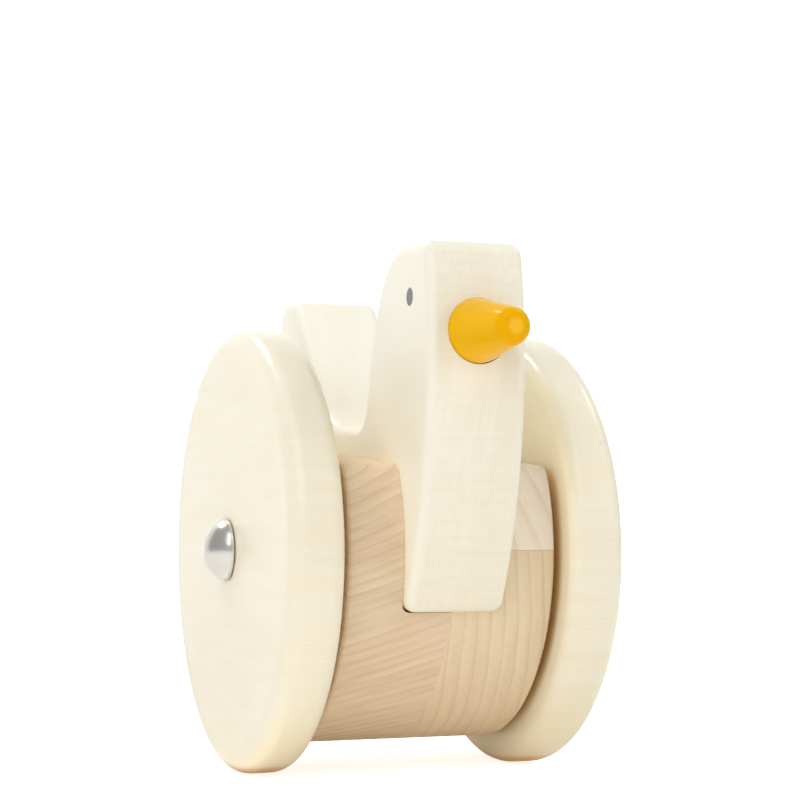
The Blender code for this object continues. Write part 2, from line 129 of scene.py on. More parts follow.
class HenToySizes(bpy.types.PropertyGroup):
    """Sizes of the visible pieces; heights are above the axle, lengths forward or back of it."""

    wheel_edge: length("Wheel edge", "Rounding of the wheels' rims", 0.0036)
    wheel_bore: length("Wheel bore", "Radius of the hole in each wheel", 0.0032)
    barrel_radius: length("Barrel radius", "Radius of the barrel", 0.0392)
    barrel_flat: length("Barrel flat", "Height of the flat top of the barrel", 0.0198)
    barrel_flat_corner: length("Flat corner", "Rounding where the flat meets the barrel", 0.003)
    barrel_edge: length("Barrel edge", "Rounding of the barrel's two ends", 0.0008)
    block_seam: length("Block seam", "Height of the seam between the two right blocks", 0.0037)
    slot_depth: length("Slot depth", "Depth of the slot below the axle", 0.00805)
    left_slot_extra: length("Extra left depth", "How much deeper the left block's slot is", 0.0002)
    slot_fillet: length("Slot fillet", "Rounding left in the slot's inner corners", 0.0016)
    slot_half: length("Slot half width", "Half of the width of the slot", 0.01004)
    glue_line: length("Glue line", "Thickness of the open glue line in the right side", 0.00005)
    hen_edge: length("Hen edge", "Rounding of the board's long edges", 0.0022)
    hen_foot: length("Hen foot", "Depth of the hen's foot below the axle", 0.008)
    hen_foot_corner: length("Foot corner", "Rounding of the foot's corners", 0.0025)
    breast_reach: length("Breast reach", "Furthest reach of the breast in front of the axle", 0.0491)
    rump_reach: length("Rump reach", "Furthest reach of the rump behind the axle", 0.0496)
    hen_bow: length("Hen bow", "Radius of the bowed breast and rump", 0.108)
    hen_straight: length("Hen straight", "Straight stretch beside the bow's corners", 0.007)
    hen_waist: length("Hen waist", "Height where breast and rump reach furthest", 0.033)
    head_height: length("Head height", "Height of the head's top", 0.0628)
    head_corner: length("Head corner", "Rounding of the head's front corner", 0.003)
    crown_height: length("Crown height", "Height of the crown's corner", 0.0618)
    crown_forward: length("Crown forward", "Distance of the crown in front of the axle", 0.0255)
    crown_radius: length("Crown rounding", "Rounding of the crown", 0.014)
    nape_height: length("Nape height", "Height of the nape", 0.0516)
    nape_forward: length("Nape forward", "Distance of the nape in front of the axle", 0.0179)
    nape_radius: length("Nape rounding", "Rounding of the nape", 0.020)
    saddle_height: length("Saddle height", "Height of the saddle's floor", 0.0257)
    saddle_front: length("Saddle front", "Start of the saddle in front of the axle", 0.0116)
    saddle_front_radius: length("Saddle front rounding", "Rounding behind the neck", 0.006)
    saddle_back: length("Saddle back", "End of the saddle behind the axle", 0.011)
    saddle_back_radius: length("Saddle back rounding", "Rounding before the tail", 0.015)
    tail_height: length("Tail height", "Height of the tail's top", 0.0518)
    tail_slope: angle("Tail slope", "Slope of the tail's front", 43.0)
    tail_front_corner: length("Tail front corner", "Rounding of the tail's front corner", 0.0025)
    tail_back_corner: length("Tail back corner", "Rounding of the tail's back corner", 0.0055)
    body_lean: angle("Body lean", "How far the body hangs nose-down", 5.0)
    eye_forward: length("Eye forward", "Distance of the eye in front of the axle", 0.0373)
    eye_height: length("Eye height", "Height of the eye", 0.052)
    eye_radius: length("Eye radius", "Radius of the painted eye", 0.00175)
    beak_height: length("Beak height", "Height of the beak's root", 0.0459)
    beak_tilt: angle("Beak tilt", "How far the beak points up from the board", 3.2)
    beak_reach: length("Beak reach", "Length of the beak outside the head", 0.0174)
    beak_seat: length("Beak seat", "Depth of the seat cut in the head", 0.0006)
    beak_gap: length("Beak gap", "Gap round the beak in its seat", 0.00001)
    beak_base: length("Beak base", "Radius of the beak at its seat", 0.00625)
    beak_end: length("Beak end", "Radius to which the beak tapers before it is rounded", 0.0032)
    beak_rounding: length("Beak rounding", "Rounding of the beak's end", 0.0019)
    cap_skirt: length("Cap skirt", "Height of the straight rim of an axle cap", 0.0007)
    cap_drop: length("Cap drop", "How much lower the dome is than the packed cap", 0.0006)
    cap_crown: share("Cap crown", "Share of a half ball cut off to shape the dome", 0.35)
    cap_wall: length("Cap wall", "Thickness of an axle cap's sheet metal", 0.0005)


class HenToyColours(bpy.types.PropertyGroup):
    """Colours of the finishes, and of the painted shade and reflection."""

    hen_cream: colour("Hen cream", "Cream stain of the hen", (0.915, 0.895, 0.780))
    # The hen shade is also laid on the sawn edges as painted shade, darker toward the foot.
    hen_shade: colour("Hen shade", "Stain where the hen's grain takes it up", (0.850, 0.775, 0.590))
    wheel_cream: colour("Wheel cream", "Cream stain of the wheels", (0.885, 0.850, 0.705))
    wheel_shade: colour("Wheel shade", "Stain where the wheels' grain takes it up", (0.870, 0.740, 0.490))
    # Painted shade: warm tone laid on the cream wood in narrow gaps, where other pieces hide it.
    painted_gap_shade: colour("Crevice", "Warm tone of the cream wood in narrow gaps", (0.800, 0.520, 0.220))
    # Painted shade: warm tone laid on the cream wood in wide hollows, where other pieces hide it.
    painted_hollow_shade: colour("Hollow", "Warm tone of the cream wood in wide hollows", (0.930, 0.800, 0.540))
    eye: colour("Eye", "Paint of the eyes", (0.105, 0.115, 0.105))
    left_maple: colour("Left maple", "Wood of the left block", (0.815, 0.657, 0.460))
    left_maple_shade: colour("Left maple shade", "Late rings of the left block", (0.560, 0.360, 0.210))
    lower_maple: colour("Lower maple", "Wood of the lower right block", (0.830, 0.695, 0.478))
    lower_maple_shade: colour("Lower maple shade", "Late rings of that block", (0.660, 0.440, 0.260))
    upper_maple: colour("Upper maple", "Wood of the upper right block", (0.955, 0.865, 0.715))
    upper_maple_shade: colour("Upper maple shade", "Late rings of that block", (0.760, 0.560, 0.410))
    beak: colour("Beak", "Yellow lacquer of the beak", (0.870, 0.474, 0.001))
    # The beak shade is the thicker lacquer in the clouding and also painted shade round the beak's
    # rounded end.
    beak_shade: colour("Beak shade", "Yellow lacquer where it is thicker", (0.850, 0.417, 0.0005))
    # Painted reflection: paler yellow laid on the middle of the beak's flat end.
    beak_end_highlight: colour("Beak worn", "Yellow lacquer on the worn end of the beak", (0.930, 0.520, 0.035))
    nickel: colour("Nickel", "Plated axle caps", (0.740, 0.720, 0.670))
    steel: colour("Steel", "Axle and counterweight", (0.520, 0.520, 0.530))
    spring_steel: colour("Spring steel", "Toothed grips in the caps", (0.300, 0.310, 0.340))
    nylon: colour("Nylon", "Spacers between barrel and wheels", (0.780, 0.780, 0.750))
    sweep: colour("Sweep", "Studio floor and back wall", (0.930, 0.922, 0.910))
    floor_light: colour("Floor light", "Tint of the light from below", (1.000, 0.830, 0.560))
    room: colour("Room", "Light of the room round the sweep", (0.025, 0.025, 0.025))
    room_sheen: colour("Room sheen", "The room as glossy surfaces show it", (0.420, 0.420, 0.420))


class HenToyStage(bpy.types.PropertyGroup):
    """Camera, lamps and floor."""

    camera_left: length("Camera left", "Distance of the camera to the left of the axle", 0.14379)
    camera_front: length("Camera front", "Distance of the camera in front of the axle", 0.40216)
    camera_above: length("Camera above", "Height of the camera above the axle", 0.00709)
    camera_turn: angle("Camera turn", "How far the camera looks to the right", 20.09)
    camera_pitch: angle("Camera pitch", "How far the camera looks up", 3.246)
    camera_lens: FloatProperty(
        name="Lens", description="Focal length for a 36 mm sensor", default=91.4, unit="CAMERA"
    )
    back_lamp: power("Back lamp", "Power of the strip lamp high behind", 1.4)
    back_roll: angle("Back roll", "Turn of the strip lamp about its own axis", 31.0)
    right_lamp: power("Right lamp", "Power of the small lamp on the right", 0.5)
    front_lamp: power("Front lamp", "Power of the tall lamp in front on the left", 1.45)
    high_fill: power("High fill", "Power of the fill above the toy", 2.5)
    left_side_fill: power("Left side fill", "Power of the fill beside the toy on the left", 1.15)
    right_side_fill: power("Right side fill", "Power of the fill beside the toy on the right", 1.25)
    left_fill: power("Left fill", "Power of the fill in front on the left", 1.9)
    right_fill: power("Right fill", "Power of the fill in front on the right", 2.85)
    floor_glow: share("Floor glow", "Whiteness that the sweep shows to the camera", 0.75)
    floor_light: share("Floor light", "Light from below, through the floor", 0.14)
    floor_sheen: share("Floor sheen", "Whiteness of the sweep in glossy surfaces", 0.12)
    wall_sheen: share("Wall sheen", "Added whiteness of the back wall in glossy surfaces", 0.45)
    sweep_half_width: length("Sweep half width", "Half of the sweep's width", 1.6)
    sweep_near: length("Sweep near", "Length of the floor in front of the toy", 1.6)
    sweep_far: length("Sweep far", "Distance of the back wall behind the toy", 0.9)
    sweep_height: length("Sweep height", "Height of the back wall", 1.1)
    sweep_fold: length("Sweep fold", "Size of the curve between floor and wall", 0.4)


class HenToySettings(bpy.types.PropertyGroup):
    """All settings of the toy."""

    sizes: PointerProperty(type=HenToySizes)
    colours: PointerProperty(type=HenToyColours)
    stage: PointerProperty(type=HenToyStage)


def body_matrix(sizes):
    """From the hen's own upright axes at the axle to the part's axes."""
    return Matrix.Translation(AXLE) @ Matrix.Rotation(sizes.body_lean, 4, "X")


def beak_matrix(sizes):
    """From the beak's own axes, Z out of its seat, to the part's axes."""
    rise = sizes.beak_height - sizes.hen_waist
    root = sizes.hen_bow - sizes.breast_reach - math.sqrt(sizes.hen_bow**2 - rise**2)
    outwards = Vector((0.0, -math.cos(sizes.beak_tilt), math.sin(sizes.beak_tilt)))
    seat = Vector((0.0, root, sizes.beak_height)) - outwards * sizes.beak_seat
    turn = Matrix.Rotation(math.pi / 2 - sizes.beak_tilt, 4, "X")
    return body_matrix(sizes) @ Matrix.Translation(seat) @ turn


def same(value, target):
    """Whether two lengths are equal within the weld distance."""
    return abs(value - target) < WELD_DISTANCE


def everything(shape):
    """All vertices, edges and faces of a shape."""
    return shape.verts[:] + shape.edges[:] + shape.faces[:]


def only(parts, kind):
    """Those parts of a shape that are of one kind."""
    return [part for part in parts if isinstance(part, kind)]


def edges_where(shape, test):
    """Edges whose two ends both pass a test of their place."""
    return [edge for edge in shape.edges if all(test(vert.co) for vert in edge.verts)]


def bevel(shape, geometry, offset, segments, affect="EDGES"):
    """Round edges or vertices."""
    bmesh.ops.bevel(
        shape,
        geom=geometry,
        offset=offset,
        offset_type="OFFSET",
        segments=segments,
        profile=0.5,
        material=-1,
        affect=affect,
    )


def round_corner(shape, corner, radius, segments):
    """Round one corner of a flat face to a radius."""
    before, after = [edge.other_vert(corner).co - corner.co for edge in corner.link_edges]
    offset = radius / math.tan(before.angle(after) / 2)
    if offset >= min(before.length, after.length):
        raise ValueError(f"a rounding of {radius} m is too large for its corner at {corner.co}")
    bevel(shape, [corner], offset, segments, affect="VERTICES")


def extrude_faces(shape, faces, distance):
    """Pull faces along a vector, with walls behind them."""
    region = set(faces)
    edges = [edge for edge in shape.edges if region.intersection(edge.link_faces)]
    made = bmesh.ops.extrude_face_region(shape, geom=faces + edges)["geom"]
    bmesh.ops.translate(shape, verts=only(made, bmesh.types.BMVert), vec=distance)


def extrude_edges(shape, edges, distance):
    """Pull edges along a vector into new faces."""
    made = bmesh.ops.extrude_edge_only(shape, edges=edges)["geom"]
    bmesh.ops.translate(shape, verts=only(made, bmesh.types.BMVert), vec=distance)


def cut_away(shape, height, direction, fill=True):
    """Cut off what lies above or below a height; the cut is closed unless fill is off."""
    cut = bmesh.ops.bisect_plane(
        shape, geom=everything(shape), plane_co=(0.0, 0.0, height), plane_no=direction, clear_outer=True
    )["geom_cut"]
    if fill:
        bmesh.ops.contextual_create(shape, geom=only(cut, bmesh.types.BMEdge))


def new_cone(segments, base, end, start, depth):
    """Closed cone along Z, from a start height up."""
    shape = bmesh.new()
    bmesh.ops.create_cone(
        shape,
        cap_ends=True,
        segments=segments,
        radius1=base,
        radius2=end,
        depth=depth,
        matrix=Matrix.Translation((0.0, 0.0, start + depth / 2)),
    )
    return shape


def smoothed(mesh):
    """Mesh shaded smooth, apart from its sharp edges."""
    mesh.shade_smooth()
    mesh.set_sharp_from_angle(angle=SHARP_EDGE_ANGLE)
    return mesh


def mesh_from(name, shape, place):
    """Finished mesh in the part's axes, with outward faces and smooth rounds."""
    bmesh.ops.remove_doubles(shape, verts=shape.verts, dist=WELD_DISTANCE)
    bmesh.ops.recalc_face_normals(shape, faces=shape.faces)
    mesh = bpy.data.meshes.new(name)
    shape.to_mesh(mesh)
    shape.free()
    mesh.transform(place)
    return smoothed(mesh)


def new_object(name, data):
    """New object in the scene."""
    made = bpy.data.objects.new(name, data)
    bpy.context.scene.collection.objects.link(made)
    return made


def new_piece(name, mesh, material, body, node):
    """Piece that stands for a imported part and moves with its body."""
    mesh.materials.append(material)
    piece = new_object(name, mesh)
    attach(piece, body)
    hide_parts(node)


def drilled(mesh, cutter_mesh):
    """Copy of a mesh with the room of a cutter taken out of it."""
    board = new_object("board_blank", mesh)
    cutter = new_object("drill", cutter_mesh)
    hole = board.modifiers.new("hole", "BOOLEAN")
    hole.object = cutter
    hole.solver = "EXACT"
    bpy.context.view_layer.update()
    evaluated = board.evaluated_get(bpy.context.evaluated_depsgraph_get())
    result = bpy.data.meshes.new_from_object(evaluated)
    for thing in (board, cutter):
        bpy.data.objects.remove(thing)
    return smoothed(result)


def set_inputs(tree, node, values):
    """Set a node's inputs to plain values, or link them to sockets."""
    for name, value in values.items():
        if isinstance(value, bpy.types.NodeSocket):
            tree.links.new(value, node.inputs[name])
        else:
            node.inputs[name].default_value = value


def add_node(tree, kind, inputs=None, **settings):
    """New node with its settings and inputs."""
    node = tree.nodes.new(kind)
    for name, value in settings.items():
        setattr(node, name, value)
    set_inputs(tree, node, inputs or {})
    return node


def calculate(tree, operation, first, second=0.0, clamp=False):
    """Result of one step of arithmetic on values or sockets."""
    values = {0: first, 1: second}
    return add_node(tree, "ShaderNodeMath", values, operation=operation, use_clamp=clamp).outputs[0]


def product(tree, first, *factors):
    """First value times all the others."""
    for factor in factors:
        first = calculate(tree, "MULTIPLY", first, factor)
    return first


def mix_colours(tree, factor, first, second):
    """Colour that goes from the first to the second as the factor rises to 1."""
    inputs = {0: factor}
    for socket, value in ((MIX_FIRST_COLOUR, first), (MIX_SECOND_COLOUR, second)):
        inputs[socket] = value if isinstance(value, bpy.types.NodeSocket) else (*value, 1.0)
    return add_node(tree, "ShaderNodeMix", inputs, data_type="RGBA").outputs[MIX_COLOUR_RESULT]


def layered(tree, paint, layers):
    """Colour under further tones, each laid on through its mask at its depth."""
    for mask, depth, tone in layers:
        paint = mix_colours(tree, product(tree, mask, depth), paint, tone)
    return paint


def fade(tree, value, start, end):
    """Value that goes smoothly from 0 at start to 1 at end."""
    inputs = {"Value": value, "From Min": start, "From Max": end}
    node = add_node(tree, "ShaderNodeMapRange", inputs, interpolation_type="SMOOTHSTEP")
    return node.outputs["Result"]


def own_axes(tree, place, turn):
    """Object coordinates moved to axes with their own centre and turn."""
    coordinates = add_node(tree, "ShaderNodeTexCoord").outputs["Object"]
    inputs = {"Vector": coordinates, "Location": place, "Rotation": turn}
    return add_node(tree, "ShaderNodeMapping", inputs, vector_type="TEXTURE").outputs["Vector"]


def split_axes(tree, vector):
    """The three coordinates of a vector, by name."""
    return add_node(tree, "ShaderNodeSeparateXYZ", {"Vector": vector}).outputs


def distance_out(tree, first, second):
    """Distance from an axis, from the two coordinates across it."""
    across = add_node(tree, "ShaderNodeCombineXYZ", {"X": first, "Y": second}).outputs["Vector"]
    return add_node(tree, "ShaderNodeVectorMath", {0: across}, operation="LENGTH").outputs["Value"]


def noise(tree, vector, scale, detail):
    """Soft noise between 0 and 1."""
    inputs = {"Vector": vector, "Scale": scale, "Detail": detail}
    return add_node(tree, "ShaderNodeTexNoise", inputs).outputs["Fac"]


def stretched_noise(tree, vector, stretch, scale, detail):
    """Noise drawn out along the axes whose stretch is below 1."""
    inputs = {"Vector": vector, "Scale": stretch}
    along = add_node(tree, "ShaderNodeMapping", inputs, vector_type="POINT").outputs["Vector"]
    return noise(tree, along, scale, detail)


def occlusion_shade_mask(tree, reach, start, end):
    """Mask for painted shade: spots that things within reach hide, from one open share down to another.
    """
    open_share = add_node(tree, "ShaderNodeAmbientOcclusion", {"Distance": reach}).outputs["AO"]
    return fade(tree, open_share, start, end)


def gap_shade_mask(tree):
    """Mask for painted shade in the narrow gaps beside other pieces."""
    return occlusion_shade_mask(tree, reach=0.004, start=0.6, end=0.2)


def new_group(name, inputs, outputs):
    """Shader node group with a vector and named values, and its input and output nodes."""
    tree = bpy.data.node_groups.new(name, "ShaderNodeTree")
    tree.interface.new_socket("Vector", in_out="INPUT", socket_type="NodeSocketVector")
    for socket, default in inputs.items():
        made = tree.interface.new_socket(socket, in_out="INPUT", socket_type="NodeSocketFloat")
        made.default_value = default
    for socket in outputs:
        tree.interface.new_socket(socket, in_out="OUTPUT", socket_type="NodeSocketFloat")
    return tree, tree.nodes.new("NodeGroupInput").outputs, tree.nodes.new("NodeGroupOutput")


def plank_grain_group():
    """Growth rings across a plank's X axis and fibres along its Z axis."""
    name = "plank_grain"
    if name in bpy.data.node_groups:
        return bpy.data.node_groups[name]
    inputs = {"Ring Scale": 170.0, "Waviness": 2.0, "Fibre Scale": 900.0}
    tree, given, result = new_group(name, inputs, ("Lines", "Bands", "Fibres", "Cloud"))
    vector = given["Vector"]
    rings = given["Ring Scale"]
    wave = add_node(
        tree,
        "ShaderNodeTexWave",
        {
            "Vector": vector,
            "Scale": rings,
            "Distortion": given["Waviness"],
            "Detail": 2.0,
            "Detail Scale": 0.5,
            "Detail Roughness": 0.45,
        },
        wave_type="BANDS",
        bands_direction="X",
        wave_profile="SAW",
    )
    late_wood_sharpness = 5.0
    late_wood = calculate(tree, "POWER", wave.outputs["Fac"], late_wood_sharpness)
    bands_per_ring = 4.5
    band_scale = product(tree, rings, bands_per_ring)
    bands = stretched_noise(tree, vector, (1.0, 0.1, 0.08), scale=band_scale, detail=2.0)
    patches = stretched_noise(tree, vector, (1.0, 0.2, 0.1), scale=rings, detail=1.0)
    fibres = stretched_noise(tree, vector, (1.0, 1.0, 0.06), scale=given["Fibre Scale"], detail=3.0)
    cloud = noise(tree, vector, scale=55.0, detail=2.0)
    outputs = {
        "Lines": product(tree, late_wood, fade(tree, patches, start=0.1, end=0.6)),
        "Bands": fade(tree, bands, start=0.33, end=0.67),
        "Fibres": fade(tree, fibres, start=0.35, end=0.7),
        "Cloud": fade(tree, cloud, start=0.3, end=0.7),
    }
    set_inputs(tree, result, outputs)
    return tree


def plank_grain(tree, inputs):
    """Outputs of the plank grain, placed in a material with its own values."""
    return add_node(tree, "ShaderNodeGroup", inputs, node_tree=plank_grain_group()).outputs


def lacquer_film_group():
    """Uneven gloss and a slow ripple of a brushed or dipped lacquer film."""
    name = "lacquer_film"
    if name in bpy.data.node_groups:
        return bpy.data.node_groups[name]
    inputs = {"Roughness": 0.25, "Unevenness": 0.06}
    tree, given, result = new_group(name, inputs, ("Roughness", "Ripple"))
    patches = noise(tree, given["Vector"], scale=120.0, detail=3.0)
    noise_middle = 0.5
    swing = product(tree, calculate(tree, "SUBTRACT", patches, noise_middle), given["Unevenness"])
    outputs = {
        "Roughness": calculate(tree, "ADD", given["Roughness"], swing, clamp=True),
        "Ripple": noise(tree, given["Vector"], scale=350.0, detail=1.0),
    }
    set_inputs(tree, result, outputs)
    return tree


def new_material(name):
    """Material with its node tree and its principled shader."""
    material = bpy.data.materials.new(name)
    material.use_nodes = True
    return material, material.node_tree, material.node_tree.nodes["Principled BSDF"]


def link_film(tree, shader, vector, roughness, unevenness, relief, fibres=0.0):
    """Lacquer film's roughness, and a bump from its ripple and the fibres under it."""
    values = {"Vector": vector, "Roughness": roughness, "Unevenness": unevenness}
    film = add_node(tree, "ShaderNodeGroup", values, node_tree=lacquer_film_group()).outputs
    height = calculate(tree, "ADD", film["Ripple"], fibres)
    bump = add_node(tree, "ShaderNodeBump", {"Strength": 1.0, "Distance": relief, "Height": height})
    set_inputs(tree, shader, {"Roughness": film["Roughness"], "Normal": bump.outputs["Normal"]})


def cream_wood(name, cream, shade, place, turn, ring_scale):
    """Cream-stained, lacquered wood; returns the material, its tree, shader, grain axes and colour."""
    material, tree, shader = new_material(name)
    vector = own_axes(tree, place, turn)
    values = {"Vector": vector, "Ring Scale": ring_scale, "Waviness": 5.0, "Fibre Scale": 1500.0}
    grain = plank_grain(tree, values)
    band_depth = 0.22
    fibre_depth = 0.10
    bands = product(tree, grain["Bands"], band_depth)
    fibres = product(tree, grain["Fibres"], fibre_depth)
    paint = mix_colours(tree, calculate(tree, "ADD", bands, fibres), cream, shade)
    gloss = {"Specular IOR Level": 0.35, "Coat Weight": 0.3, "Coat Roughness": 0.30}
    set_inputs(tree, shader, gloss)
    link_film(tree, shader, vector, roughness=0.30, unevenness=0.10, relief=0.00002, fibres=fibres)
    return material, tree, shader, vector, paint


def cross_hatch(tree, slanted, straight):
    """Fine threads along the slanted grain and across the board."""
    hatch = 0.0
    drawn_out = 0.07
    for vector, stretch in ((slanted, (1.0, 1.0, drawn_out)), (straight, (drawn_out, 1.0, 1.0))):
        threads = stretched_noise(tree, vector, stretch, scale=1400.0, detail=1.0)
        hatch = calculate(tree, "ADD", hatch, fade(tree, threads, start=0.4, end=0.65))
    return hatch


def eye_spot(tree, sizes, place):
    """Mask of the round eye, with a slightly soft rim."""
    forward = calculate(tree, "ADD", place["Y"], sizes.eye_forward)
    upward = calculate(tree, "SUBTRACT", place["Z"], sizes.eye_height)
    soft_rim = 0.0001
    out = distance_out(tree, forward, upward)
    return fade(tree, out, start=sizes.eye_radius + soft_rim, end=sizes.eye_radius - soft_rim)


def hen_material(settings):
    """Cream lacquer with a fine cross hatch on the sawn edges and a painted eye on each side, plus
    painted shade.
    """
    colours, sizes = settings.colours, settings.sizes
    grain_slant = math.radians(8.0)
    turn = (sizes.body_lean, grain_slant, 0.0)
    material, tree, shader, slanted, paint = cream_wood(
        "hen_lacquer", colours.hen_cream, colours.hen_shade, AXLE, turn, ring_scale=60.0
    )
    straight = own_axes(tree, AXLE, (sizes.body_lean, 0.0, 0.0))
    place = split_axes(tree, straight)
    from_middle = calculate(tree, "ABSOLUTE", place["X"])
    from_seam = calculate(tree, "ABSOLUTE", calculate(tree, "SUBTRACT", place["Z"], sizes.block_seam))
    on_edge = fade(tree, from_middle, start=HEN_HIGH.x - 0.0001, end=HEN_HIGH.x - 0.0025)
    in_front = fade(tree, place["Y"], start=-0.015, end=-0.025)
    # Painted shade: the sawn edges get darker toward the foot.
    shade_toward_foot = fade(tree, place["Z"], start=0.045, end=-0.010)
    at_seam = fade(tree, from_seam, start=0.0005, end=0.0001)
    on_right = fade(tree, place["X"], start=-0.004, end=0.001)
    hatch = cross_hatch(tree, slanted, straight)
    layers = (
        (product(tree, hatch, on_edge, in_front), 0.22, colours.hen_shade),
        (product(tree, shade_toward_foot, on_edge), 0.35, colours.hen_shade),
        # Painted warm shade in wide hollows and in narrow gaps, where other pieces hide the board.
        (occlusion_shade_mask(tree, reach=0.012, start=0.70, end=0.20), 0.3, colours.painted_hollow_shade),
        (gap_shade_mask(tree), 1.0, colours.painted_gap_shade),
        (product(tree, at_seam, on_edge, on_right), 0.4, colours.hen_shade),
        (eye_spot(tree, sizes, place), 1.0, colours.eye),
    )
    set_inputs(tree, shader, {"Base Color": layered(tree, paint, layers)})
    return material


def wheel_material(word, side, colours):
    """Cream lacquer, rubbed smoother on the rounded rims, more streaked on the tread, with painted shade
    in hollows and gaps.
    """
    heart_of_log = AXLE + Vector((0.0, side * 0.09, -0.11))
    turn = (0.0, math.radians(-90.0), 0.0)
    name = word + "_wheel_lacquer"
    material, tree, shader, vector, paint = cream_wood(
        name, colours.wheel_cream, colours.wheel_shade, heart_of_log, turn, ring_scale=90.0
    )
    place = split_axes(tree, own_axes(tree, AXLE, UNTURNED))
    out = distance_out(tree, place["Y"], place["Z"])
    rubbed = fade(tree, out, start=WHEEL_RADIUS - 0.0070, end=WHEEL_RADIUS - 0.0025)
    tread = fade(tree, out, start=WHEEL_RADIUS - 0.0020, end=WHEEL_RADIUS - 0.0004)
    streaks = plank_grain(tree, {"Vector": vector, "Ring Scale": 330.0})["Lines"]
    layers = (
        (product(tree, streaks, tread), 0.35, colours.wheel_shade),
        # Painted warm shade in wide hollows and in narrow gaps beside other pieces.
        (occlusion_shade_mask(tree, reach=0.025, start=0.85, end=0.25), 0.5, colours.painted_hollow_shade),
        (gap_shade_mask(tree), 1.0, colours.painted_gap_shade),
    )
    rubbed_coat = 0.25
    values = {
        "Base Color": layered(tree, paint, layers),
        "Coat Weight": product(tree, rubbed, rubbed_coat),
        "Coat Roughness": 0.08,
    }
    set_inputs(tree, shader, values)
    return material


def grain_turn(across, along):
    """Turn of a plank with its rings across one direction and its fibres along another."""
    sideways = across.normalized()
    upwards = (along - sideways * along.dot(sideways)).normalized()
    return Matrix((sideways, upwards.cross(sideways), upwards)).transposed().to_euler()


def maple(name, tones, turn, ring_scale, line_depth, band_depth):
    """Bare maple between the tones of its early and its late wood."""
    material, tree, shader = new_material(name)
    vector = own_axes(tree, AXLE, turn)
    values = {"Vector": vector, "Ring Scale": ring_scale, "Waviness": 2.0, "Fibre Scale": 1200.0}
    grain = plank_grain(tree, values)
    depths = {"Lines": line_depth, "Bands": band_depth, "Fibres": 0.12, "Cloud": 0.12}
    dark = 0.0
    for pattern, depth in depths.items():
        dark = calculate(tree, "ADD", dark, product(tree, grain[pattern], depth))
    set_inputs(tree, shader, {"Base Color": mix_colours(tree, dark, *tones)})
    link_film(tree, shader, vector, roughness=0.48, unevenness=0.12, relief=0.000008)
    return material


def beak_material(settings):
    """Yellow lacquer, deeper in clouds where it gathered; painted shade round the end, painted reflection
    on its flat.
    """
    colours, sizes = settings.colours, settings.sizes
    material, tree, shader = new_material("beak_lacquer")
    vector = own_axes(tree, AXLE, (sizes.body_lean, 0.0, 0.0))
    seat = beak_matrix(sizes)
    place = split_axes(tree, own_axes(tree, seat.translation, seat.to_euler()))
    tip = sizes.beak_reach + sizes.beak_seat
    near_tip = fade(tree, place["Z"], start=tip - 0.0022, end=tip - 0.0012)
    in_middle = fade(tree, distance_out(tree, place["X"], place["Y"]), start=0.0019, end=0.0009)
    layers = (
        (plank_grain(tree, {"Vector": vector})["Cloud"], 0.35, colours.beak_shade),
        # Painted shade: deeper yellow round the rounded end.
        (near_tip, 0.8, colours.beak_shade),
        # Painted reflection: paler yellow on the middle of the flat end.
        (product(tree, near_tip, in_middle), 1.0, colours.beak_end_highlight),
    )
    values = {"Base Color": layered(tree, colours.beak, layers), "Specular IOR Level": 0.06}
    set_inputs(tree, shader, values)
    link_film(tree, shader, vector, roughness=0.09, unevenness=0.05, relief=0.00002)
    return material


def clouded_material(name, tint, pattern, depth, darkest):
    """Material whose tint a pattern darkens; returns it with its tree, shader and axes."""
    material, tree, shader = new_material(name)
    vector = own_axes(tree, AXLE, UNTURNED)
    grain = plank_grain(tree, {"Vector": vector, "Fibre Scale": 1800.0})
    dark = [channel * darkest for channel in tint]
    set_inputs(tree, shader, {"Base Color": layered(tree, tint, [(grain[pattern], depth, dark)])})
    return material, tree, shader, vector


def metal(name, tint, roughness, unevenness):
    """Metal with faint streaks in its gloss and tone."""
    material, tree, shader, vector = clouded_material(name, tint, "Fibres", depth=0.12, darkest=0.8)
    set_inputs(tree, shader, {"Metallic": 1.0})
    link_film(tree, shader, vector, roughness, unevenness, relief=0.000004)
    return material


def nylon(name, tint):
    """Slightly waxy white plastic."""
    material, tree, shader, vector = clouded_material(name, tint, "Cloud", depth=0.2, darkest=0.85)
    link_film(tree, shader, vector, roughness=0.42, unevenness=0.08, relief=0.00001)
    return material


class HENTOY_OT_wheels(bpy.types.Operator):
    """Turn the two disc wheels"""

    bl_idname = "hen_toy.wheels"
    bl_label = "Wheels"

    def disc(self, sizes, side):
        """Disc with a bore and rounded rims, about the axle."""
        inner = -LEFT_WHEEL_HIGH.x
        outer = -LEFT_WHEEL_LOW.x
        bore = sizes.wheel_bore
        shape = bmesh.new()
        corners = [
            shape.verts.new((side * along, 0.0, out))
            for along, out in ((inner, bore), (outer, bore), (outer, WHEEL_RADIUS), (inner, WHEEL_RADIUS))
        ]
        shape.faces.new(corners)
        for rim in corners[2:]:
            round_corner(shape, rim, sizes.wheel_edge, WHEEL_EDGE_STEPS)
        bmesh.ops.delete(shape, geom=shape.faces[:], context="FACES_ONLY")
        bmesh.ops.spin(
            shape,
            geom=everything(shape),
            cent=(0.0, 0.0, 0.0),
            axis=ALONG_AXLE,
            angle=2 * math.pi,
            steps=WHEEL_STEPS,
            use_merge=True,
        )
        return shape

    def execute(self, context):
        settings = context.scene.hen_toy
        for word, side in SIDES:
            name = word + "_wheel_disc"
            node = word + "_wheel"
            mesh = mesh_from(name, self.disc(settings.sizes, side), Matrix.Translation(AXLE))
            material = wheel_material(word, side, settings.colours)
            new_piece(name, mesh, material, node, node)
        return {"FINISHED"}


